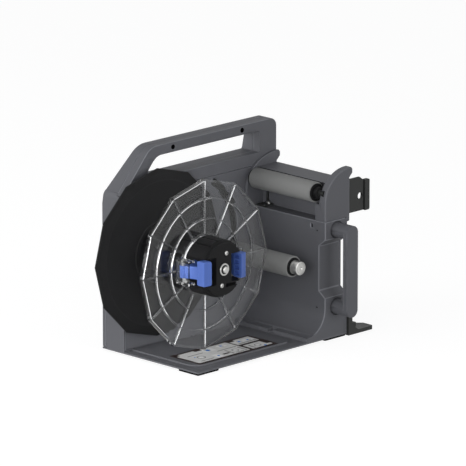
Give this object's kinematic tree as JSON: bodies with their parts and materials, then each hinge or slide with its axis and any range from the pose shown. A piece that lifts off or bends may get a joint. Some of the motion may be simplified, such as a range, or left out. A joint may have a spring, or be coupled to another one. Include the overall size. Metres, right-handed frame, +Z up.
{
  "type": "label rewinder",
  "caption": "Desk-top label rewinder: motor-driven hub with a black and a clear flange, guide roller and sprung dancer roller on a grey carry frame with docking brackets.",
  "frame": {"origin": "on the table under the middle of the object's bounding box", "axes": "+X towards the printer side with the tower, -Y to the front where the hub ends, +Z up"},
  "size_m": [0.38, 0.2028, 0.267],
  "materials": {
    "body": "fine grained grey moulding",
    "base": "grey powder coat",
    "rubber": "matt black rubber",
    "label": "laminated paper label",
    "steel": "bright turned steel",
    "black_plastic": "black moulding",
    "black_metal": "black coated sheet steel",
    "board": "green circuit board",
    "gear": "natural acetal",
    "clear": "clear polycarbonate",
    "blue": "blue moulding",
    "roller": "bead-blasted anodised tube"
  },
  "bodies": {
    "frame": {"base_plate": "base", "foot_pads": "rubber", "base_screws": "steel", "label_plate": "label", "main_frame": "body", "handle_cover": "body", "handle_screws": "steel", "front_panel": "body", "panel_standoffs": "steel", "chassis_plate": "steel", "chassis_screws": "steel", "rear_cover": "body", "cover_screws": "steel", "power_inlet": "black_plastic", "circuit_board": "board", "board_standoffs": "steel", "motor": "black_metal", "bearing_carrier": "steel", "front_bearing": "steel", "rear_bearing": "steel", "dancer_stud": "steel", "dancer_spring": "steel", "tower": "body", "tower_cover": "body", "tower_screws": "steel", "front_cheek": "body", "rear_cheek": "body", "guide_hood": "body", "axle_clip": "black_plastic", "axle_holder": "black_plastic", "side_handle": "body", "cross_pins": "black_plastic", "upper_bracket": "black_metal", "lower_bracket": "black_metal", "bracket_screws": "steel", "guide_axle": "steel"},
    "spool": {"spindle_shaft": "steel", "shaft_clip": "steel", "spool_gear": "gear", "rear_flange": "black_plastic", "hub_core": "black_plastic", "hub_upper_shell": "black_plastic", "hub_lower_shell": "black_plastic", "hub_end_plate": "black_plastic", "hub_screws": "steel", "spindle_bolt": "steel"},
    "pinion": {"motor_pinion": "steel"},
    "clear_flange": {"front_flange": "clear", "lever_pins": "steel", "lever_springs": "steel"},
    "lever_l": {"left_lever": "blue"},
    "lever_r": {"right_lever": "blue"},
    "guide": {"guide_roller": "roller", "guide_caps": "black_plastic"},
    "dancer": {"dancer_arm": "black_metal", "dancer_shaft": "steel", "dancer_knob": "steel"},
    "dancer_sleeve": {"dancer_roller": "roller", "dancer_collar": "black_plastic"}
  },
  "joints": [
    {"name": "spool_spin", "type": "hinge", "parent": "frame", "child": "spool", "pos_m": [-0.078, 0.0618, 0.1305], "axis": [0, 1, 0], "continuous": true},
    {"name": "motor_spin", "type": "hinge", "parent": "frame", "child": "pinion", "pos_m": [-0.058, 0.0618, 0.09586], "axis": [0, 1, 0], "continuous": true},
    {"name": "flange_slide", "type": "slide", "parent": "spool", "child": "clear_flange", "axis": [0, 1, 0], "range_m": [-0.028, 0.05]},
    {"name": "left_lever_squeeze", "type": "hinge", "parent": "clear_flange", "child": "lever_l", "pos_m": [-0.12, -0.0397, 0.1305], "axis": [0, 0, 1], "range_deg": [0, 8], "stiffness_Nm_per_rad": 0.6},
    {"name": "right_lever_squeeze", "type": "hinge", "parent": "clear_flange", "child": "lever_r", "pos_m": [-0.036, -0.0397, 0.1305], "axis": [0, 0, -1], "range_deg": [0, 8], "stiffness_Nm_per_rad": 0.6},
    {"name": "guide_spin", "type": "hinge", "parent": "frame", "child": "guide", "pos_m": [0.105, 0.0618, 0.1955], "axis": [0, 1, 0], "continuous": true},
    {"name": "dancer_swing", "type": "hinge", "parent": "frame", "child": "dancer", "pos_m": [-0.009, 0.0618, 0.1321], "axis": [0, -1, 0], "range_deg": [0, 72], "stiffness_Nm_per_rad": 0.3, "springref_deg": -22.92},
    {"name": "dancer_roller_spin", "type": "hinge", "parent": "dancer", "child": "dancer_sleeve", "pos_m": [0.06662, 0.0618, 0.10307], "axis": [0, 1, 0], "continuous": true}
  ],
  "couplings": [
    {"joint": "motor_spin", "follows": "spool_spin", "ratio": -4}
  ]
}
